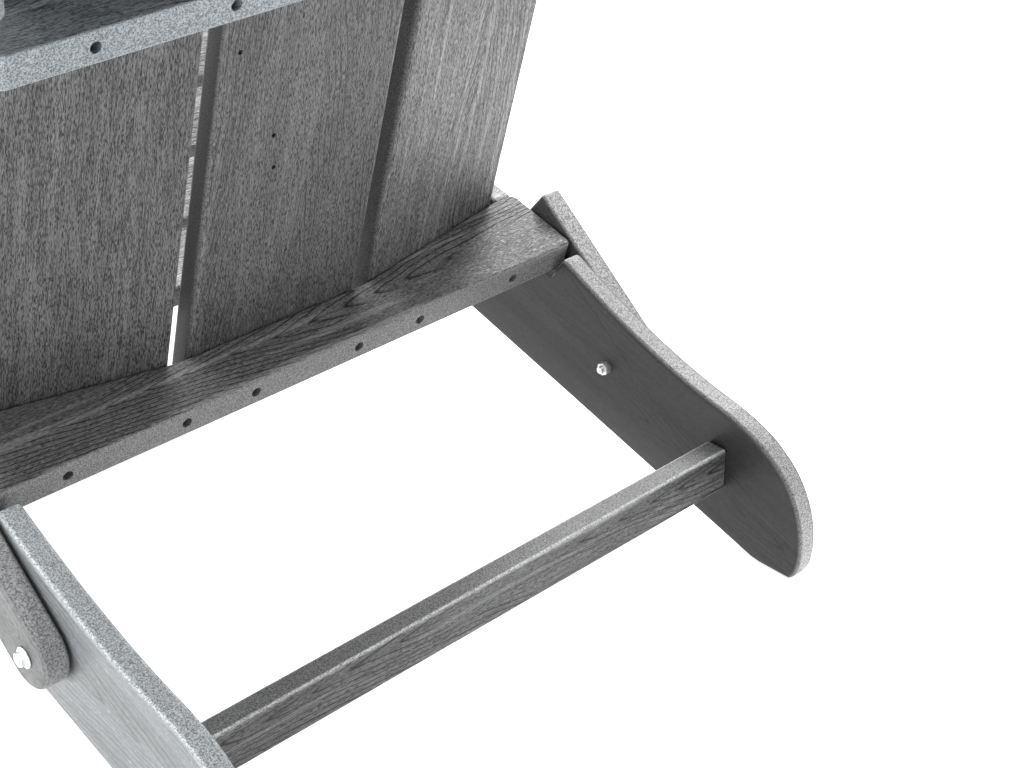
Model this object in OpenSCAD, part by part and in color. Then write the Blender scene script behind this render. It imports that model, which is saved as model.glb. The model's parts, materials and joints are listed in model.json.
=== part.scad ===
// Folding adirondack chair of wood-grained poly lumber boards.
// X runs across the chair, Y from the front (-) to the rear (+) and Z up from the ground.
// The origin lies on the ground under the middle of the chair. Left is the sitter's left (+X).
// Pivots and outlines are given as [y, z] pairs, and every outline is extruded along X.

/* [Boards] */
// Thickness of every flat board
board_t = 20; // [19:0.5:21]
// Half of the clear width between the two stringers
inner_half = 257.5; // [255:0.5:260]
// Clearance between boards that turn beside each other
side_gap = 1.5; // [1.2:0.1:2]

/* [Frame] */
// Length of the flat on which each rear foot stands
foot_flat = 30; // [25:1:35]
// Height of the rear stretcher
stretcher_h = 37; // [30:1:42]
// Height of the front apron
apron_h = 85; // [70:1:95]
// Width of a seat slat, measured along the seat
seat_slat_w = 58; // [54:1:60]
// Gap between two seat slats
seat_gap = 9; // [7:1:11]

/* [Back] */
// Recline of the back slats from the vertical, in degrees
recline = 16; // [15:0.5:17]
// Width of a back slat
back_slat_w = 160; // [155:1:160]
// Distance of the slat tips above the lower rail, along the slats
back_h = 766; // [740:1:780]
// Radius of the arched top edge of the back
arch_r = 330; // [310:5:360]
// Turn of each outer slat towards the sitter, in degrees
wing_turn = 9.5; // [8:0.5:10]
// Thickness of the two back rails
rail_t = 25; // [22:0.5:26]
// Distance between the two back rails, along the slats
rail_pitch = 355; // [350:1:358]

/* [Arms and legs] */
// Length of an arm board
arm_l = 715; // [690:1:720]
// Width of an arm board at its front
arm_front_w = 112; // [100:1:120]
// Width of an arm board at its rear
arm_rear_w = 66; // [60:1:75]
// Width of a front leg
leg_w = 102; // [100:1:104]
// Width of a swing link
link_w = 50; // [46:1:52]

/* [Fasteners] */
// Diameter of the pivot bolts
bolt_d = 6; // [6:0.5:6.5]
// Diameter of the counterbores in the back rails
counterbore_d = 8; // [8:0.5:9]
// Diameter of the wood screws
screw_d = 4.4; // [4:0.2:4.8]

/* [Hidden] */
$fn = 48;

// Pivots, as [y, z].
link_pivot = [217.8, 110];
rail_pivot = [116.8, 193.8];
leg_pivot = [-368, 286];
arm_pivot = [-306, 536];
arm_rear_pivot = rail_pivot + rail_pitch * [sin(recline), cos(recline)];

// Ends of the chair and of the foot.
rear_y = 430;
front_y = -430;
foot_y = rear_y - 10;
stringer_front_y = -408;
under_angle = 16.84;
under_start = [foot_y - foot_flat - 8.9, 1.1];
nose_r = 22;
nose_y = stringer_front_y + nose_r;
nose_z = under_start[1] + (under_start[0] - nose_y) * tan(under_angle) + nose_r / cos(under_angle);

// Stretcher, and the heights of its screws and of the apron screws.
stretcher_y = 341;
stretcher_z = 53.5;
stretcher_screw_z = [60, 74];
apron_screw_z = [285, 315];

// Planes across the chair, from the stringers outwards.
stringer_x = inner_half;
outer_x = stringer_x + board_t;
link_x = outer_x + side_gap;
support_x = link_x + board_t + side_gap;
support_end_x = support_x + board_t;
seat_half = outer_x - 1.5;

// Seat: the slope under each slat in degrees, from the rear to the front.
seat_angles = [15.5, 22, 24.5, 22.5, 18, 12, 5, 0];
seat_start = [64.1, 218.5];
seat_pitch = seat_slat_w + seat_gap;
function seat_point(i) = i == 0 ? seat_start
    : seat_point(i - 1) + seat_pitch * [-cos(seat_angles[i - 1]), sin(seat_angles[i - 1])];
seat_last = len(seat_angles) - 1;
seat_front_z = seat_point(seat_last)[1];

// Back rail outline: rear face, centre flat and end tabs, measured square to the slats.
rail_rear = 36.5;
rail_tab = -37;
rail_flat = -9.5;
flat_half = 87.5;
rail_corner_r = 6;
tab_x = flat_half + (rail_flat - rail_tab) / tan(wing_turn);
rail_screws = [-213, -112, -49.5, 49.5, 112, 213];
function rail_front(x) = rail_flat - max(0, abs(x) - flat_half) * tan(wing_turn);
screw_bite = 24;
screw_in_slat = 15;
wing_gap = 7.6;
slat_foot = -14;

// Fasteners.
bolt_r = bolt_d / 2;
fit_r = bolt_r + 0.06;
nut_bore_r = bolt_r + 0.03;
hex_r = 10 / sqrt(3);
head_h = 4.2;
nut_h = 6;
washer_r = 8;
washer_bore_r = bolt_r + 0.2;
washer_play = 0.3;
bolt_end = 3;
screw_r = screw_d / 2;
screw_head_r = 4;
screw_head_h = 3;
rail_bolt_l = 52;

// Arm: heights over the line through its two pivots.
arm_rise = 34;
arm_drop = 22;
arm_behind = 72;
arm_reach = norm(arm_pivot - arm_rear_pivot);
arm_tilt = atan2(arm_rear_pivot[1] - arm_pivot[1], arm_rear_pivot[0] - arm_pivot[0]);
arm_inner_x = outer_x + 3.5;
arm_screw_at = [-20, -190, -360, -500];

// Leg: rear edge behind the arm pivot, and the round top about it.
leg_rear = arm_pivot[0] + 20;
leg_top_r = 31;

function bezier(p, q, r, s, n) = [for (i = [1:n]) let (t = i / n, u = 1 - t)
    u * u * u * p + 3 * u * u * t * q + 3 * u * t * t * r + t * t * t * s];
function arc(c, r, a0, a1, n) = [for (i = [0:n]) let (a = a0 + (a1 - a0) * i / n)
    c + r * [cos(a), sin(a)]];

// Extrudes a [y, z] outline along X, from x over the thickness t.
module plate(x, t) {
    translate([x, 0, 0])
        rotate([90, 0, 90])
            linear_extrude(t)
                children();
}

// Round bar along X from x0 to x1 through the point p.
module bar(p, x0, x1, r, sides = 48) {
    translate([x0, p[0], p[1]])
        rotate([0, 90, 0])
            cylinder(h = x1 - x0, r = r, $fn = sides);
}

// Flat washer along X.
module washer(p, x0, x1) {
    difference() {
        bar(p, x0, x1, washer_r);
        bar(p, x0 - 1, x1 + 1, washer_bore_r);
    }
}

// Hexagon nut along X.
module nut(p, x0, x1) {
    difference() {
        bar(p, x0, x1, hex_r, 6);
        bar(p, x0 - 1, x1 + 1, nut_bore_r);
    }
}

// The same piece on both sides of the chair.
module both() {
    children();
    mirror([1, 0, 0])
        children();
}

// Frame of the back: Y is square to the slats and Z runs up along them.
module on_back() {
    translate([0, rail_pivot[0], rail_pivot[1]])
        rotate([-recline, 0, 0])
            children();
}

// Frame of an arm: -Y runs from the rear pivot to the front pivot.
module on_arm() {
    translate([0, arm_rear_pivot[0], arm_rear_pivot[1]])
        rotate([arm_tilt, 0, 0])
            children();
}

// ---- Frame ----

function back_point(u, s) = rail_pivot
    + u * [cos(recline), -sin(recline)] + s * [sin(recline), cos(recline)];

notch_floor = -rail_t / 2 - 0.3;
notch_rear = rail_rear + 2;
notch_front = rail_tab - 0.8;
notch_crest = [162.8, 187.8];

// Outline of a stringer: rounded rear foot, hollow top edge, rail notch and seat rest.
stringer_outline = concat(
    [[foot_y - foot_flat, 0], [foot_y, 0]],
    bezier([foot_y, 0], [foot_y + 6, 3], [rear_y, 14], [rear_y, 30], 8),
    bezier([rear_y, 30], [rear_y, 62], [foot_y - 6, 88], [394, 101], 10),
    bezier([394, 101], [385, 110], [360, 119.5], [340, 123.5], 8),
    bezier([340, 123.5], [285, 134.5], [229, 157], [174, 184.5], 12),
    bezier([174, 184.5], [169, 187.2], [165.4, 189.6], notch_crest, 5),
    [back_point(notch_rear, notch_floor), back_point(notch_front, notch_floor),
        back_point(notch_front, 10.6)],
    [for (i = [0:seat_last]) seat_point(i)],
    [[stringer_front_y, seat_front_z]],
    arc([nose_y, nose_z], nose_r, 180, 270 - under_angle, 6),
    [under_start]);

module seat_screw_at(i, r_head, r_shank, up) {
    a = seat_angles[i];
    reach = i == seat_last ? 10 : seat_slat_w / 2;
    p = seat_point(i) + (seat_gap / 2 + reach) * [-cos(a), sin(a)] + board_t * [sin(a), cos(a)];
    translate([stringer_x + board_t / 2, p[0], p[1]])
        rotate([-a, 0, 0]) {
            translate([0, 0, -screw_head_h])
                cylinder(h = screw_head_h + up, r = r_head);
            translate([0, 0, -48])
                cylinder(h = 46, r = r_shank);
        }
}

module stretcher_screw_at(x0, r_head, r_shank) {
    for (z = stretcher_screw_z) {
        bar([stretcher_y, z], x0 - screw_head_h, x0, r_head);
        bar([stretcher_y, z], x0 - 45, x0 - 2, r_shank);
    }
}

module apron_screw_at(r_head, r_shank, out) {
    for (z = apron_screw_z)
        translate([stringer_x + board_t / 2, stringer_front_y - board_t, z])
            rotate([-90, 0, 0]) {
                translate([0, 0, -out])
                    cylinder(h = screw_head_h + out, r = r_head);
                translate([0, 0, 2])
                    cylinder(h = 38, r = r_shank);
            }
}

module stringer() {
    difference() {
        plate(stringer_x, board_t)
            polygon(stringer_outline);
        bar(link_pivot, stringer_x - 1, outer_x + 1, bolt_r);
        bar(leg_pivot, stringer_x - 1, outer_x + 1, bolt_r);
        for (i = [0:seat_last])
            seat_screw_at(i, screw_r, screw_r, 0);
        for (z = stretcher_screw_z) {
            bar([stretcher_y, z], outer_x - screw_head_h, outer_x + 1, screw_head_r);
            bar([stretcher_y, z], stringer_x - 1, outer_x, screw_r);
        }
        apron_screw_at(screw_r, screw_r, 0);
    }
}

module stringer_left() {
    color("dimgray")
        stringer();
}

module stringer_right() {
    color("dimgray")
        mirror([1, 0, 0])
            stringer();
}

module rear_stretcher() {
    color("gray")
        difference() {
            translate([-inner_half, stretcher_y - board_t / 2, stretcher_z])
                cube([2 * inner_half, board_t, stretcher_h]);
            both()
                stretcher_screw_at(outer_x, screw_r, screw_r);
        }
}

module front_apron() {
    color("gray")
        difference() {
            translate([-outer_x, stringer_front_y - board_t, seat_front_z - apron_h])
                cube([2 * outer_x, board_t, apron_h]);
            both()
                apron_screw_at(screw_head_r, screw_r, 1);
        }
}

module seat_slat(n) {
    i = n - 1;
    a = seat_angles[i];
    along = [-cos(a), sin(a)];
    up = board_t * [sin(a), cos(a)];
    p = seat_point(i) + seat_gap / 2 * along;
    w = i == seat_last ? p[0] - front_y : seat_slat_w;
    color("darkgray")
        difference() {
            plate(-seat_half, 2 * seat_half)
                polygon([p, p + up, p + w * along + up, p + w * along]);
            both()
                seat_screw_at(i, screw_head_r, screw_r, 1);
        }
}

module seat_screws() {
    color("silver")
        both()
            for (i = [0:seat_last])
                seat_screw_at(i, screw_head_r, screw_r, 0);
}

module stretcher_screws() {
    color("silver")
        both()
            stretcher_screw_at(outer_x, screw_head_r, screw_r);
}

module apron_screws() {
    color("silver")
        both()
            apron_screw_at(screw_head_r, screw_r, 0);
}

// Pivot bolts through a stringer and the board outside it, with a nut inside.
module frame_bolts(p) {
    color("silver")
        both() {
            bar(p, stringer_x - nut_h - bolt_end, link_x + board_t + side_gap, bolt_r);
            bar(p, link_x + board_t + side_gap, link_x + board_t + side_gap + head_h, hex_r, 6);
        }
}

module frame_nuts(p) {
    color("silver")
        both()
            nut(p, stringer_x - nut_h, stringer_x);
}

module frame_washers(p) {
    color("silver")
        both() {
            washer(p, outer_x, link_x - washer_play);
            washer(p, link_x + board_t + washer_play, support_x);
        }
}

module link_pivot_bolts() { frame_bolts(link_pivot); }
module link_pivot_nuts() { frame_nuts(link_pivot); }
module link_pivot_washers() { frame_washers(link_pivot); }
module leg_pivot_bolts() { frame_bolts(leg_pivot); }
module leg_pivot_nuts() { frame_nuts(leg_pivot); }
module leg_pivot_washers() { frame_washers(leg_pivot); }

// ---- Swing links ----

module swing_link() {
    span = rail_pivot - link_pivot;
    difference() {
        translate([0, link_pivot[0], link_pivot[1]])
            rotate([atan2(span[1], span[0]), 0, 0])
                plate(link_x, board_t)
                    polygon(concat(
                        arc([0, 0], link_w / 2, 90, 270, 24),
                        [[norm(span) + 20, -link_w / 2], [norm(span) + 20, link_w / 2]]));
        bar(link_pivot, link_x - 1, support_x, fit_r);
        bar(rail_pivot, link_x - 1, support_x, fit_r);
    }
}

module swing_link_left() {
    color("gray")
        swing_link();
}

module swing_link_right() {
    color("gray")
        mirror([1, 0, 0])
            swing_link();
}

// ---- Back ----

// Slat screws of one rail, driven from its rear face towards the slats.
module rail_screws_at(s, head_r, shank_r, rear) {
    for (x = rail_screws)
        translate([x, rail_front(x) + screw_bite, s])
            rotate([-90, 0, 0]) {
                cylinder(h = rear ? 60 : screw_head_h, r = head_r);
                translate([0, 0, -screw_bite - screw_in_slat])
                    cylinder(h = screw_bite + screw_in_slat + 1, r = shank_r);
            }
}

module back_rail(s) {
    r = rail_corner_r;
    end_x = outer_x - r;
    color("gray")
        on_back()
            difference() {
                translate([0, 0, s - rail_t / 2])
                    linear_extrude(rail_t)
                        polygon(concat(
                            arc([end_x, rail_rear - r], r, 0, 90, 6),
                            arc([-end_x, rail_rear - r], r, 90, 180, 6),
                            arc([-end_x, rail_tab + r], r, 180, 270, 6),
                            [[-tab_x, rail_tab], [-flat_half, rail_flat]],
                            [[flat_half, rail_flat], [tab_x, rail_tab]],
                            arc([end_x, rail_tab + r], r, 270, 360, 6)));
                rail_screws_at(s, counterbore_d / 2, screw_r, true);
                both()
                    bar([0, s], outer_x - rail_bolt_l, outer_x + 1, bolt_r);
            }
}

module lower_back_rail() { back_rail(0); }
module upper_back_rail() { back_rail(rail_pitch); }

// Front outline of the back from x0 to x1, arched at the top about the chair's middle.
module slat_outline(x0, x1, middle) {
    intersection() {
        translate([x0, slat_foot])
            square([x1 - x0, back_h - slat_foot]);
        union() {
            translate([middle, back_h - arch_r])
                circle(r = arch_r, $fn = 180);
            translate([x0 - 1, slat_foot - 1])
                square([x1 - x0 + 2, back_h - arch_r - slat_foot]);
        }
    }
}

module slat_board(x0, x1, middle) {
    rotate([90, 0, 0])
        linear_extrude(board_t)
            slat_outline(x0, x1, middle);
}

module rail_screw_holes() {
    rail_screws_at(0, 0.1, screw_r, false);
    rail_screws_at(rail_pitch, 0.1, screw_r, false);
}

module back_slat_centre() {
    color("dimgray")
        on_back()
            difference() {
                translate([0, rail_flat, 0])
                    slat_board(-back_slat_w / 2, back_slat_w / 2, 0);
                rail_screw_holes();
                for (p = [[65, 278], [26, 197], [22, 168]])
                    translate([p[0], rail_flat - 8, p[1]])
                        rotate([-90, 0, 0])
                            cylinder(h = 9, r = 1.7);
            }
}

module wing_slat() {
    on_back()
        difference() {
            translate([flat_half, rail_flat, 0])
                rotate([0, 0, -wing_turn])
                    slat_board(wing_gap, wing_gap + back_slat_w, -flat_half);
            rail_screw_holes();
        }
}

module back_slat_left() {
    color("dimgray")
        wing_slat();
}

module back_slat_right() {
    color("dimgray")
        mirror([1, 0, 0])
            wing_slat();
}

module lower_slat_screws() {
    color("silver")
        on_back()
            rail_screws_at(0, screw_head_r - 0.1, screw_r, false);
}

module upper_slat_screws() {
    color("silver")
        on_back()
            rail_screws_at(rail_pitch, screw_head_r - 0.1, screw_r, false);
}

// Bolts screwed into the ends of a rail, through the board that turns on them.
module rail_bolts(p, x) {
    color("silver")
        both() {
            bar(p, outer_x - rail_bolt_l, x, bolt_r);
            bar(p, x, x + head_h, hex_r, 6);
        }
}

module rail_pivot_bolts() { rail_bolts(rail_pivot, link_x + board_t + side_gap); }

module rail_pivot_washers() {
    color("silver")
        both() {
            washer(rail_pivot, outer_x, link_x - washer_play);
            washer(rail_pivot, link_x + board_t + washer_play, support_x);
        }
}

module arm_rear_bolts() { rail_bolts(arm_rear_pivot, support_end_x + side_gap); }

module arm_rear_sleeves() {
    color("silver")
        both()
            difference() {
                bar(arm_rear_pivot, outer_x, support_x - side_gap, washer_r);
                bar(arm_rear_pivot, outer_x - 1, support_x, washer_bore_r);
            }
}

module arm_rear_washers() {
    color("silver")
        both() {
            washer(arm_rear_pivot, support_x - side_gap, support_x - washer_play);
            washer(arm_rear_pivot, support_end_x + washer_play, support_end_x + side_gap);
        }
}

// ---- Arms ----

module arm_screws_at(head_r, shank_r, up) {
    for (y = arm_screw_at)
        translate([support_x + board_t / 2, y, arm_rise + board_t]) {
            translate([0, 0, -screw_head_h])
                cylinder(h = screw_head_h + up, r = head_r);
            translate([0, 0, -45])
                cylinder(h = 43, r = shank_r);
        }
}

// Plan of an arm board: straight inner edge, outer edge swelling to the front.
module arm_plan() {
    rear_x = arm_inner_x + arm_rear_w;
    front_x = arm_inner_x + arm_front_w;
    front = arm_behind - arm_l;
    r = 18;
    polygon(concat(
        arc([arm_inner_x + r, arm_behind - r], r, 180, 90, 6),
        arc([rear_x - r, arm_behind - r], r, 90, 0, 6),
        bezier([rear_x, -140], [rear_x + 2, -290], [front_x, -290], [front_x, -430], 12),
        arc([front_x - 2 * r, front + 2 * r], 2 * r, 0, -90, 8),
        arc([arm_inner_x + r, front + r], r, -90, -180, 6)));
}

module arm_board() {
    on_arm()
        difference() {
            translate([0, 0, arm_rise])
                linear_extrude(board_t)
                    arm_plan();
            arm_screws_at(screw_head_r, screw_r, 1);
        }
}

module arm_support() {
    on_arm()
        difference() {
            plate(support_x, board_t)
                polygon(concat(
                    arc([0, 0], arm_drop, -90, 0, 8),
                    [[arm_drop, arm_rise], [-arm_reach - arm_drop, arm_rise]],
                    arc([-arm_reach, 0], arm_drop, 180, 270, 8)));
            bar([0, 0], support_x - 1, support_end_x + 1, fit_r);
            bar([-arm_reach, 0], support_x - 1, support_end_x + 1, bolt_r);
            arm_screws_at(screw_r, screw_r, 0);
        }
}

module arm_screws() {
    on_arm()
        arm_screws_at(screw_head_r, screw_r, 0);
}

// Head half of the front arm bolt, which ends at the face of the leg.
module arm_front_bolt() {
    bar(arm_pivot, support_x - 0.2, support_end_x, bolt_r);
    bar(arm_pivot, support_end_x, support_end_x + head_h, hex_r, 6);
}

module arm_left() {
    color("gray")
        arm_board();
}

module arm_right() {
    color("gray")
        mirror([1, 0, 0])
            arm_board();
}

module arm_support_left() {
    color("dimgray")
        arm_support();
}

module arm_support_right() {
    color("dimgray")
        mirror([1, 0, 0])
            arm_support();
}

module arm_screws_left() {
    color("silver")
        arm_screws();
}

module arm_screws_right() {
    color("silver")
        mirror([1, 0, 0])
            arm_screws();
}

module arm_front_bolt_left() {
    color("silver")
        arm_front_bolt();
}

module arm_front_bolt_right() {
    color("silver")
        mirror([1, 0, 0])
            arm_front_bolt();
}

// ---- Front legs ----

module front_leg() {
    top = arm_pivot[1] + leg_top_r;
    side = acos((leg_rear - arm_pivot[0]) / leg_top_r);
    difference() {
        plate(link_x, board_t)
            polygon(concat(
                [[leg_rear - leg_w, 0], [leg_rear, 0]],
                arc(arm_pivot, leg_top_r, side, 90, 8),
                arc([leg_rear - leg_w + 12, top - 12], 12, 90, 180, 6)));
        bar(leg_pivot, link_x - 1, support_x, fit_r);
        bar(arm_pivot, link_x - 1, support_x, bolt_r);
    }
}

// Nut half of the front arm bolt, held in the leg.
module leg_top_nut() {
    nut(arm_pivot, link_x - nut_h, link_x);
    bar(arm_pivot, link_x - nut_h - bolt_end, support_x - side_gap - 0.2, bolt_r);
}

module front_leg_left() {
    color("dimgray")
        front_leg();
}

module front_leg_right() {
    color("dimgray")
        mirror([1, 0, 0])
            front_leg();
}

module leg_top_nut_left() {
    color("silver")
        leg_top_nut();
}

module leg_top_nut_right() {
    color("silver")
        mirror([1, 0, 0])
            leg_top_nut();
}

stringer_left();
stringer_right();
rear_stretcher();
front_apron();
seat_slat(1);  // seat_slat_1
seat_slat(2);  // seat_slat_2
seat_slat(3);  // seat_slat_3
seat_slat(4);  // seat_slat_4
seat_slat(5);  // seat_slat_5
seat_slat(6);  // seat_slat_6
seat_slat(7);  // seat_slat_7
seat_slat(8);  // seat_slat_8
seat_screws();
stretcher_screws();
apron_screws();
link_pivot_bolts();
link_pivot_nuts();
link_pivot_washers();
leg_pivot_bolts();
leg_pivot_nuts();
leg_pivot_washers();
swing_link_left();
swing_link_right();
lower_back_rail();
upper_back_rail();
back_slat_left();
back_slat_centre();
back_slat_right();
lower_slat_screws();
upper_slat_screws();
rail_pivot_bolts();
rail_pivot_washers();
arm_rear_bolts();
arm_rear_sleeves();
arm_rear_washers();
arm_left();
arm_support_left();
arm_screws_left();
arm_front_bolt_left();
arm_right();
arm_support_right();
arm_screws_right();
arm_front_bolt_right();
front_leg_left();
leg_top_nut_left();
front_leg_right();
leg_top_nut_right();
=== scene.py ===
"""Folding adirondack chair in grey poly lumber: the looks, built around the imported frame."""
import json
import math
from collections import namedtuple

import bmesh
import bpy
import numpy as np
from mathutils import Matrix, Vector

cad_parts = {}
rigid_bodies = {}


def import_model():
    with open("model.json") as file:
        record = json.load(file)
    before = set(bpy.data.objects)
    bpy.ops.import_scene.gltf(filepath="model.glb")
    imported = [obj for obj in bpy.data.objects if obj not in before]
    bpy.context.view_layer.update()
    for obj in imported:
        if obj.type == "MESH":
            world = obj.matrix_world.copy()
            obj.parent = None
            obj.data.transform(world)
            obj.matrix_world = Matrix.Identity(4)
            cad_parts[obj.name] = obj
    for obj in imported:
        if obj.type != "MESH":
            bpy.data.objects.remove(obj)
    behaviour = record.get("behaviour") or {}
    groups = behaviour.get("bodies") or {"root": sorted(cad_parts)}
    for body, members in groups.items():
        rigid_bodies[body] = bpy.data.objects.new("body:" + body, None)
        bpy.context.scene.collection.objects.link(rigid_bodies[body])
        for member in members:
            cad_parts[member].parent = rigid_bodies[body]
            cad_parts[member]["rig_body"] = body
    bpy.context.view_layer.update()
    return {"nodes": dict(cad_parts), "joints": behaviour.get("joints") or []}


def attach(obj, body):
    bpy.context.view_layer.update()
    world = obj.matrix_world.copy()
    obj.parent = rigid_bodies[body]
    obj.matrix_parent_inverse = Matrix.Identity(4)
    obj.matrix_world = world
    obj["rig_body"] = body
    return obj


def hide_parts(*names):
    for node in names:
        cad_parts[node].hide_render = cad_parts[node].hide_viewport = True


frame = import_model()

JOINTS = {j["name"]: Vector(j["pos_m"]) for j in frame["joints"]}
X = Vector((1, 0, 0))
Y = Vector((0, 1, 0))
Z = Vector((0, 0, 1))


def in_side_view(v):
    """The direction of v as seen from the side of the chair."""
    return Vector((0, v.y, v.z)).normalized()


STRINGER_DIR = in_side_view(JOINTS["left_link_swing"] - JOINTS["left_leg_fold"])
LINK_DIR = in_side_view(JOINTS["back_fold"] - JOINTS["left_link_swing"])
BACK_DIR = in_side_view(JOINTS["left_arm_turn"] - JOINTS["back_fold"])

# A board's look: the direction of its grain, the radius of its long edges in metres, its tone with
# painted light and shading (one lumber, painted lighter or darker board by board as the light
# falls on it), the lightness of its sawn edges with painted light on lit edges, the lightness of
# its rounding (a painted highlight where positive), how much cathedral grain it shows, its
# coolness, how far the middle of the cathedral grain lies off the middle of the board, and how deep
# its embossing is.
Board = namedtuple("Board", "direction radius shade edge_tone rim_tone lines cool offset depth")
BOARDS = {
    # Painted light and shading: the left stringer is painted light for the side light on its outer
    # face, the right stringer painted dark for the shadow on its inner face, its edges painted
    # light for the light on its top.
    "stringer_left": Board(STRINGER_DIR, 0.0040, 1.75, 2.5, 0.3, 0.3, 0.5, 0.00, 0.25),
    "stringer_right": Board(STRINGER_DIR, 0.0040, 0.36, 10.5, -0.5, 0.3, 0.0, 0.02, 0.25),
    # Painted light: the rear stretcher is painted lighter to offset the back's shadow, and its
    # rounding value of 2.2 paints a highlight along its top rear edge.
    "rear_stretcher": Board(X, 0.0030, 1.15, 1.6, 2.2, 1.0, 0.1, 0.01, 0.7),
    "front_apron": Board(X, 0.0030, 1.00, 2.6, -0.1, 0.8, 0.1, 0.00, 0.8),
    # Painted shading: the right link is painted darker than the left, with its edges painted
    # lighter for the light on its top.
    "swing_link_left": Board(LINK_DIR, 0.0030, 1.00, 3.2, -0.3, 0.3, 0.2, 0.00, 0.5),
    "swing_link_right": Board(LINK_DIR, 0.0030, 0.65, 6.0, -0.4, 0.3, 0.0, 0.00, 0.4),
    # Painted light: the lower back rail is painted lighter for the light on its top, and the upper
    # rail's edge lightness is set to the light on its rear edge.
    "lower_back_rail": Board(X, 0.0025, 1.45, 1.4, 0.1, 1.0, 0.05, -0.004, 0.75),
    "upper_back_rail": Board(X, 0.0025, 1.00, 2.7, 0.1, 1.0, 0.9, 0.00, 0.8),
    # Painted light: the right back slat is painted lighter than the others for the light on its
    # turned face.
    "back_slat_left": Board(BACK_DIR, 0.0045, 0.94, 0.9, 0.3, 0.3, 0.0, 0.03, 1.0),
    "back_slat_centre": Board(BACK_DIR, 0.0045, 0.92, 0.8, 0.5, 0.5, 0.0, 0.01, 1.0),
    "back_slat_right": Board(BACK_DIR, 0.0045, 1.18, 0.7, 0.2, 1.0, 0.0, 0.01, 1.0),
    "arm_left": Board(Y, 0.0040, 1.00, 2.2, -0.1, 0.9, 0.2, 0.01, 0.8),
    "arm_right": Board(Y, 0.0040, 0.98, 2.2, -0.1, 0.9, 0.1, -0.01, 0.8),
    "arm_support_left": Board(Y, 0.0028, 1.00, 2.4, -0.1, 0.5, 0.2, 0.00, 0.6),
    "arm_support_right": Board(Y, 0.0028, 1.00, 2.4, -0.1, 0.5, 0.1, 0.00, 0.6),
    "front_leg_left": Board(Z, 0.0030, 1.02, 2.6, -0.1, 0.9, 0.2, 0.01, 0.7),
    "front_leg_right": Board(Z, 0.0030, 0.98, 2.6, -0.1, 0.9, 0.1, -0.01, 0.7),
}
SEAT_SLATS = 8
# Painted light: the seat slats are painted about twice as light as the rest, for the light from
# above on their tops.
for i in range(1, SEAT_SLATS + 1):
    BOARDS[f"seat_slat_{i}"] = Board(X, 0.0030, 1.9 + 0.05 * (i % 4), 1.3, 0.1, 0.7, 0.2,
                                     0.004 * (i % 3), 0.8)
HARDWARE = [n for n in frame["nodes"] if n not in BOARDS]

# Lightness of a board whose tone with painted light is 1, and what coolness takes from its red and
# adds to its green and blue.
FACE_VALUE = 0.080
COOL_TINT = (-0.09, 0.015, 0.08)

# How often each mark of the grain repeats in a metre: along the board, across it and through it.
SWAY = (3.0, 9, 9)
TICK = (250, 2000, 2000)
DASH = (66, 1050, 1050)
BAND = (5, 75, 75)
# The next scale is for bright streaks: a painted sheen, not a mark of the grain.
PAINTED_SHEEN_STREAK = (4, 120, 120)
RIPPLE = (14, 60, 60)
PLACES = (5, 22, 22)
FLECK = (150, 300, 300)
CLOUD = (3, 9, 9)
SALT = 1700.0
COARSE_SALT = 800.0

ARROW_SLOPE = 7.5       # length of a cathedral arrowhead for each metre of its half width
ARROW_TIP = 0.000006    # square metres, rounds the arrowheads' tips
ARROWS = 27.0           # arrowheads in a metre of board
EDGE_ROUGHNESS = 0.50
GRAIN_DEPTH = 0.00014   # metres
SHARP = math.radians(40)
HOLE_EDGE = 0.0015      # metres, the facets of a hole's rim are shorter than this
HOLE_BREAK = 0.00035    # metres
METAL_BREAK = 0.0003    # metres
FLOOR_HALF = 14.0       # metres


# ---------------------------------------------------------------- node helpers

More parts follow.
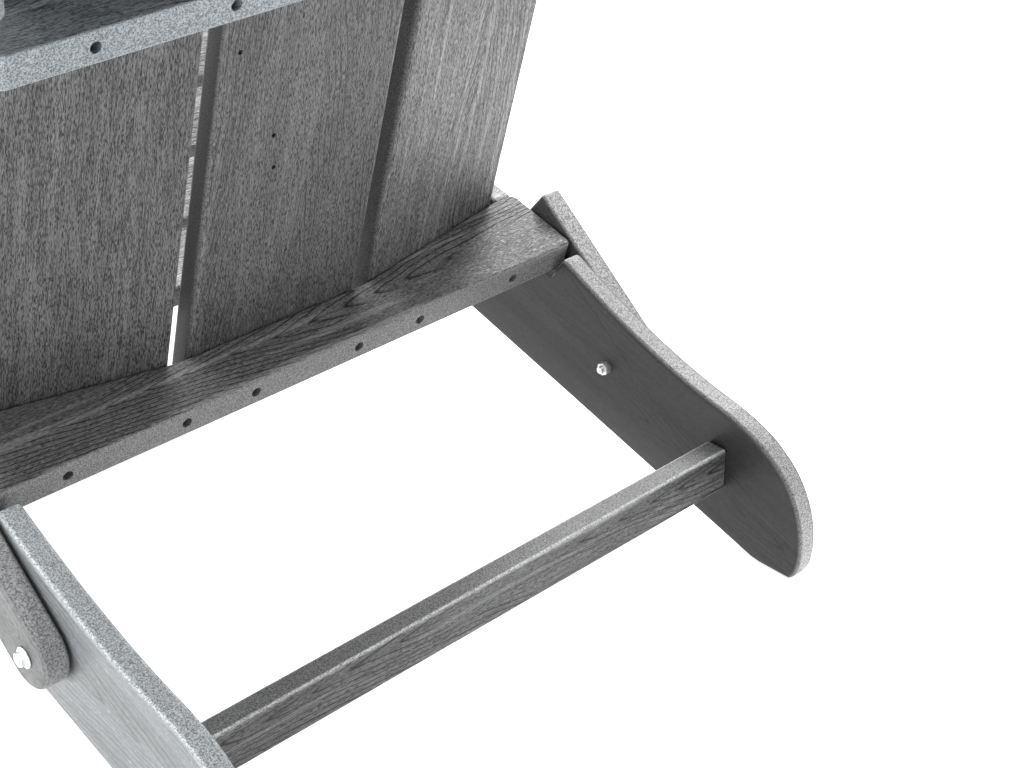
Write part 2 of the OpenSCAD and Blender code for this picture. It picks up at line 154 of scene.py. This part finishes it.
class Nodes:
    """A small writer for shader trees: each call adds a node and returns its output."""

    def __init__(self, name):
        self.material = bpy.data.materials.new(name)
        self.material.use_nodes = True
        self.tree = self.material.node_tree
        self.tree.nodes.clear()

    def add(self, kind, **settings):
        n = self.tree.nodes.new(kind)
        for key, value in settings.items():
            setattr(n, key, value)
        return n

    def put(self, socket, value):
        if isinstance(value, bpy.types.NodeSocket):
            self.tree.links.new(value, socket)
        else:
            socket.default_value = value

    def attribute(self, name, output="Fac"):
        return self.add("ShaderNodeAttribute", attribute_name=name).outputs[output]

    def math(self, operation, a, b=0.0, c=0.0, clamp=False):
        n = self.add("ShaderNodeMath", operation=operation, use_clamp=clamp)
        for socket, value in zip(n.inputs, (a, b, c)):
            self.put(socket, value)
        return n.outputs[0]

    def scaled(self, vector, scale):
        n = self.add("ShaderNodeVectorMath", operation="MULTIPLY")
        self.put(n.inputs[0], vector)
        n.inputs[1].default_value = scale
        return n.outputs[0]

    def noise(self, vector, scale, detail=3.0, rough=0.55, distortion=0.0):
        n = self.add("ShaderNodeTexNoise")
        self.put(n.inputs["Vector"], vector)
        n.inputs["Scale"].default_value = scale
        n.inputs["Detail"].default_value = detail
        n.inputs["Roughness"].default_value = rough
        n.inputs["Distortion"].default_value = distortion
        return n.outputs["Fac"]

    def ramp(self, value, low, high, to_low=0.0, to_high=1.0):
        n = self.add("ShaderNodeMapRange", interpolation_type="SMOOTHSTEP")
        for socket, v in zip(n.inputs, (value, low, high, to_low, to_high)):
            self.put(socket, v)
        return n.outputs[0]

    def mix(self, factor, a, b):
        n = self.add("ShaderNodeMix", data_type="RGBA")
        self.put(n.inputs["Factor"], factor)
        self.put(n.inputs[6], a)
        self.put(n.inputs[7], b)
        return n.outputs[2]

    def finish(self, color, roughness, height, bump_m, bump_strength=1.0, **uniform):
        shader = self.add("ShaderNodeBsdfPrincipled")
        self.put(shader.inputs["Base Color"], color)
        self.put(shader.inputs["Roughness"], roughness)
        for name, value in uniform.items():
            shader.inputs[name.replace("_", " ")].default_value = value
        bump = self.add("ShaderNodeBump")
        bump.inputs["Strength"].default_value = bump_strength
        bump.inputs["Distance"].default_value = bump_m
        self.put(bump.inputs["Height"], height)
        self.put(shader.inputs["Normal"], bump.outputs[0])
        out = self.add("ShaderNodeOutputMaterial")
        self.put(out.inputs["Surface"], shader.outputs[0])
        return self.material


# ---------------------------------------------------------------- materials

def poly_lumber():
    """Grey recycled plastic board: embossed wood grain on its wide faces, speckled sawn edges,
    per-board painted light and shading, and a painted sheen in bright streaks.
    """
    m = Nodes("poly_lumber")
    grain = m.attribute("grain", "Vector")
    turned = m.attribute("flat")
    flat = m.ramp(turned, 0.50, 0.97)
    rim = m.math("MULTIPLY", m.math("MULTIPLY", turned, 4.0), m.math("SUBTRACT", 1.0, turned))
    # Each board's tone, which also holds painted light and shading.
    shade = m.attribute("shade")
    cool = m.attribute("cool")
    depth = m.attribute("depth")
    split = m.add("ShaderNodeSeparateXYZ")
    m.put(split.inputs[0], grain)
    along, across = split.outputs[0], split.outputs[1]

    # The grain wanders, so all of its marks follow a swaying line across the board.
    sway = m.noise(m.scaled(grain, SWAY), 1.0, 2.0, 0.5)
    bent = m.math("MULTIPLY_ADD", sway, 0.010, across)
    bend = m.math("MULTIPLY_ADD", sway, 0.05, m.math("SUBTRACT", across, 0.025))
    joined = m.add("ShaderNodeCombineXYZ")
    m.put(joined.inputs[0], along)
    m.put(joined.inputs[1], bent)
    m.put(joined.inputs[2], split.outputs[2])
    flow = joined.outputs[0]

    # Embossed dashes: short ticks, longer ones, and broad soft bands.
    tick = m.noise(m.scaled(flow, TICK), 1.0, 1.0, 0.6)
    dash = m.noise(m.scaled(flow, DASH), 1.0, 2.0, 0.6)
    band = m.noise(m.scaled(flow, BAND), 1.0, 3.0, 0.6)
    ticks = m.math("MULTIPLY_ADD", tick, 0.62, m.math("MULTIPLY", dash, 0.38))
    ridge = m.math("SUBTRACT", m.ramp(ticks, 0.43, 0.57), 0.5)
    ridge = m.math("MULTIPLY_ADD", ridge, depth, 0.5)
    # Bright streaks where cathedral lines are shown: a painted sheen.
    painted_sheen_streak = m.ramp(m.noise(m.scaled(flow, PAINTED_SHEEN_STREAK), 1.0, 1.0, 0.5), 0.57, 0.64)

    # Cathedral lines: nested narrow arrowheads, dark and engraved, shown in places.
    reach = m.math("SQRT", m.math("MULTIPLY_ADD", bend, bend, ARROW_TIP))
    peak = m.math("MULTIPLY", reach, ARROW_SLOPE)
    ripple = m.noise(m.scaled(grain, RIPPLE), 1.0, 2.0, 0.5)
    level = m.math("ADD", m.math("ADD", along, peak), m.math("MULTIPLY", ripple, 0.045))
    saw = m.math("FRACT", m.math("MULTIPLY", level, ARROWS))
    away = m.math("ABSOLUTE", m.math("SUBTRACT", saw, 0.5))
    line = m.ramp(away, 0.0, 0.18, 1.0, 0.0)
    places = m.noise(m.scaled(grain, PLACES), 1.0, 1.0, 0.5)
    lines = m.attribute("lines")
    shown = m.ramp(m.math("MULTIPLY_ADD", lines, 0.10, places), 0.55, 0.62)
    shown = m.math("MULTIPLY", shown, m.math("MULTIPLY", lines, 1.4, clamp=True))
    line = m.math("MULTIPLY", m.math("MULTIPLY", line, shown), flat)

    # Salt and pepper of the sawn edges.
    salt = m.noise(grain, SALT, 1.0, 0.6)
    coarse = m.noise(grain, COARSE_SALT, 1.0, 0.5)
    speckle = m.math("MULTIPLY_ADD", salt, 0.55, m.math("MULTIPLY", coarse, 0.45))
    fleck = m.ramp(m.noise(m.scaled(grain, FLECK), 1.0, 1.0, 0.5), 0.745, 0.765)

    # Slow changes of tone, times each board's tone with painted light and shading.
    cloud = m.noise(m.scaled(grain, CLOUD), 1.0, 3.0, 0.6)
    tone = m.math("MULTIPLY", shade, m.ramp(cloud, 0.25, 0.75, 0.90, 1.10))

    face_tone = m.math("MULTIPLY_ADD", ridge, 1.60, 0.20)
    face_tone = m.math("MULTIPLY", face_tone, m.ramp(band, 0.3, 0.7, 0.86, 1.16))
    unlined = m.math("SUBTRACT", 1.0, m.math("MULTIPLY", line, 0.93))
    face_tone = m.math("MULTIPLY", face_tone, unlined)
    face_tone = m.math("MULTIPLY_ADD", fleck, 0.7, face_tone)
    face_tone = m.math("MULTIPLY_ADD", m.math("MULTIPLY", painted_sheen_streak, lines), 0.7, face_tone)
    # Sawn edges: speckle times each board's edge lightness, which also holds painted light on lit
    # edges.
    edge_tone = m.ramp(speckle, 0.36, 0.64, 0.40, 1.60)
    edge_tone = m.math("MULTIPLY", edge_tone, m.attribute("edge_tone"))
    blend = m.math("MULTIPLY_ADD", flat, m.math("SUBTRACT", face_tone, edge_tone), edge_tone)
    # The rounding is painted lighter or darker per board: a painted highlight on the rear
    # stretcher's top edge, darker on most other boards.
    rim_tone = m.math("MULTIPLY_ADD", rim, m.attribute("rim_tone"), 1.0)
    value = m.math("MULTIPLY", tone, m.math("MULTIPLY", blend, rim_tone))
    color = m.add("ShaderNodeCombineColor")
    for socket, tint in zip(color.inputs, COOL_TINT):
        base = m.math("MULTIPLY_ADD", cool, tint * FACE_VALUE, FACE_VALUE)
        m.put(socket, m.math("MULTIPLY", value, base))

    rough = m.math("MULTIPLY_ADD", ridge, -0.16, EDGE_ROUGHNESS)
    rough = m.math("MULTIPLY_ADD", flat, m.math("SUBTRACT", rough, EDGE_ROUGHNESS), EDGE_ROUGHNESS)
    relief = m.math("SUBTRACT", ridge, m.math("MULTIPLY", line, 1.6))
    relief = m.math("MULTIPLY_ADD", band, 0.4, relief)
    height = m.math("MULTIPLY_ADD", flat, m.math("SUBTRACT", relief, speckle), speckle)
    return m.finish(color.outputs[0], rough, height, GRAIN_DEPTH, 1.0, Specular_IOR_Level=0.32)


def zinc():
    """Bright zinc plating with faint tool marks and duller patches."""
    m = Nodes("zinc_plating")
    place = m.add("ShaderNodeTexCoord").outputs["Object"]
    patch = m.noise(place, 240.0, 3.0)
    marks = m.noise(m.scaled(place, (2600, 300, 300)), 1.0, 2.0)
    color = m.mix(m.ramp(patch, 0.3, 0.7), (0.66, 0.67, 0.69, 1), (0.93, 0.94, 0.95, 1))
    rough = m.math("MULTIPLY_ADD", patch, 0.20, 0.36)
    return m.finish(color, rough, marks, 0.0001, 0.4, Metallic=1.0)


def floor_finish():
    """Matt white studio floor that glows a little, as a lit translucent table does."""
    m = Nodes("studio_floor")
    place = m.add("ShaderNodeTexCoord").outputs["Object"]
    soft = m.noise(place, 2.0, 2.0)
    color = m.mix(soft, (0.93, 0.93, 0.93, 1), (0.96, 0.96, 0.96, 1))
    return m.finish(color, 0.95, soft, 0.0001, 0.1, Specular_IOR_Level=0.0,
                    Emission_Color=(1, 1, 1, 1), Emission_Strength=0.72)


# ---------------------------------------------------------------- boards

def joined_faces(node):
    """The CAD node's mesh with its flat faces whole again."""
    bm = bmesh.new()
    bm.from_mesh(frame["nodes"][node].data)
    bmesh.ops.remove_doubles(bm, verts=bm.verts, dist=1e-6)
    bmesh.ops.dissolve_limit(bm, angle_limit=math.radians(0.5), verts=bm.verts, edges=bm.edges)
    return bm


def widest_normal(bm):
    """The normal of a board's wide faces."""
    areas = {}
    for f in bm.faces:
        n = f.normal if max(f.normal, key=abs) > 0 else -f.normal
        key = tuple(round(c, 2) for c in n)
        area, total = areas.get(key, (0.0, Vector()))
        areas[key] = (area + f.calc_area(), total + n * f.calc_area())
    return max(areas.values(), key=lambda a: a[0])[1].normalized()


def round_edges(bm, radius):
    """Rounds a board's outer edges, and only just breaks the edges of its holes."""
    sharp = [e for e in bm.edges if len(e.link_faces) == 2 and e.calc_face_angle(0) > SHARP]
    hole = [e for e in sharp if e.calc_length() < HOLE_EDGE]
    outer = [e for e in sharp if e.calc_length() >= HOLE_EDGE]
    bmesh.ops.bevel(bm, geom=outer, offset=radius, offset_type="OFFSET", segments=4, profile=0.5,
                    affect="EDGES", clamp_overlap=False)
    hole = [e for e in hole if e.is_valid]
    bmesh.ops.bevel(bm, geom=hole, offset=HOLE_BREAK, offset_type="OFFSET", segments=1, profile=0.5,
                    affect="EDGES", clamp_overlap=False)


def flatness(mesh, thick):
    """For each point, 1 on the wide faces, 0 on the edges, and in between on the rounding."""
    turned = np.zeros(len(mesh.vertices))
    count = np.zeros(len(mesh.vertices))
    wide = np.zeros(len(mesh.vertices), bool)
    edge = np.zeros(len(mesh.vertices), bool)
    for p in mesh.polygons:
        c = abs(p.normal.dot(thick))
        for v in p.vertices:
            turned[v] += c
            count[v] += 1
            wide[v] |= c > 0.9999
            edge[v] |= c < 0.003
    value = turned / np.maximum(count, 1)
    value[edge] = 0.0
    value[wide] = 1.0
    return value


def put_floats(mesh, name, values):
    mesh.attributes.new(name, "FLOAT", "POINT").data.foreach_set("value", values)


def board(node, number):
    """A board with rounded edges that carries its grain directions with it."""
    look = BOARDS[node]
    bm = joined_faces(node)
    thick = widest_normal(bm)
    long = (look.direction - thick * look.direction.dot(thick)).normalized()
    width = thick.cross(long)
    round_edges(bm, look.radius)
    mesh = bpy.data.meshes.new(node + "_board")
    bm.to_mesh(mesh)
    bm.free()
    co = np.empty(len(mesh.vertices) * 3)
    mesh.vertices.foreach_get("co", co)
    co = co.reshape(-1, 3)
    middle = (co.min(0) + co.max(0)) / 2
    axes = np.array([long, width, thick])
    grain = (co - middle) @ axes.T + np.array([number * 1.37, look.offset, number * 0.61])
    mesh.attributes.new("grain", "FLOAT_VECTOR", "POINT").data.foreach_set("vector", grain.ravel())
    put_floats(mesh, "flat", flatness(mesh, thick))
    # Per-board values; the board tone, edge lightness and rounding lightness hold painted light and
    # shading.
    for key in ("shade", "edge_tone", "rim_tone", "lines", "cool", "depth"):
        put_floats(mesh, key, np.full(len(co), getattr(look, key)))
    mesh.materials.append(LUMBER)
    piece = bpy.data.objects.new(node + "_board", mesh)
    bpy.context.scene.collection.objects.link(piece)
    mesh.polygons.foreach_set("use_smooth", [True] * len(mesh.polygons))
    mesh.set_sharp_from_angle(angle=math.radians(35))
    piece.modifiers.new("weighted", "WEIGHTED_NORMAL").keep_sharp = True
    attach(piece, frame["nodes"][node]["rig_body"])
    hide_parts(node)
    return piece


def hardware(node):
    """A fastener keeps its CAD shape, with its edges just broken."""
    piece = frame["nodes"][node]
    piece.data.materials.clear()
    piece.data.materials.append(ZINC)
    piece.modifiers.new("weld", "WELD").merge_threshold = 1e-6
    bevel = piece.modifiers.new("edges", "BEVEL")
    bevel.width = METAL_BREAK
    bevel.segments = 2
    bevel.angle_limit = SHARP


# ---------------------------------------------------------------- stage

def camera():
    """Looks down over the chair's left rear corner, as a visitor standing behind it would."""
    data = bpy.data.cameras.new("camera")
    data.sensor_width = 36
    data.lens = 71.3
    obj = bpy.data.objects.new("camera", data)
    obj.location = (0.8024, 1.2143, 0.9539)
    obj.rotation_euler = (math.radians(59.365), 0, math.radians(136.33))
    bpy.context.scene.collection.objects.link(obj)
    bpy.context.scene.camera = obj


def area_light(name, place, target, size, watts):
    """A soft white light that faces its target."""
    data = bpy.data.lights.new(name, "AREA")
    data.shape = "RECTANGLE"
    data.size, data.size_y = size
    data.energy = watts
    obj = bpy.data.objects.new(name, data)
    obj.location = place
    obj.rotation_euler = (Vector(target) - Vector(place)).to_track_quat("-Z", "Y").to_euler()
    bpy.context.scene.collection.objects.link(obj)


def stage():
    """The floor, the lights and the surroundings."""
    mesh = bpy.data.meshes.new("floor")
    corners = [(-1, -1), (1, -1), (1, 1), (-1, 1)]
    mesh.from_pydata([(FLOOR_HALF * x, FLOOR_HALF * y, 0) for x, y in corners], [], [(0, 1, 2, 3)])
    mesh.materials.append(floor_finish())
    floor = bpy.data.objects.new("floor", mesh)
    bpy.context.scene.collection.objects.link(floor)
    middle = (0, 0.1, 0.2)
    area_light("key", (-2.5, -1.5, 2.9), middle, (1.8, 1.8), 165)
    area_light("top", (0.2, 1.1, 3.0), middle, (1.2, 1.2), 30)
    area_light("front", (0.0, -1.3, 2.4), (0, 0.05, 0.25), (2.2, 2.2), 140)
    area_light("rim", (-1.35, 1.55, 1.95), (0, 0.3, 0.5), (0.5, 0.5), 16)
    area_light("side", (3.2, -0.3, 0.22), (0, 0.2, 0.12), (1.6, 0.3), 120)
    world = bpy.data.worlds.new("world")
    bpy.context.scene.world = world
    world.use_nodes = True
    background = world.node_tree.nodes["Background"]
    background.inputs["Color"].default_value = (1, 1, 1, 1)
    background.inputs["Strength"].default_value = 0.33
    bpy.context.scene.view_settings.view_transform = "Standard"


LUMBER = poly_lumber()
ZINC = zinc()
camera()
stage()
for number, name in enumerate(BOARDS):
    board(name, number)
for name in HARDWARE:
    hardware(name)
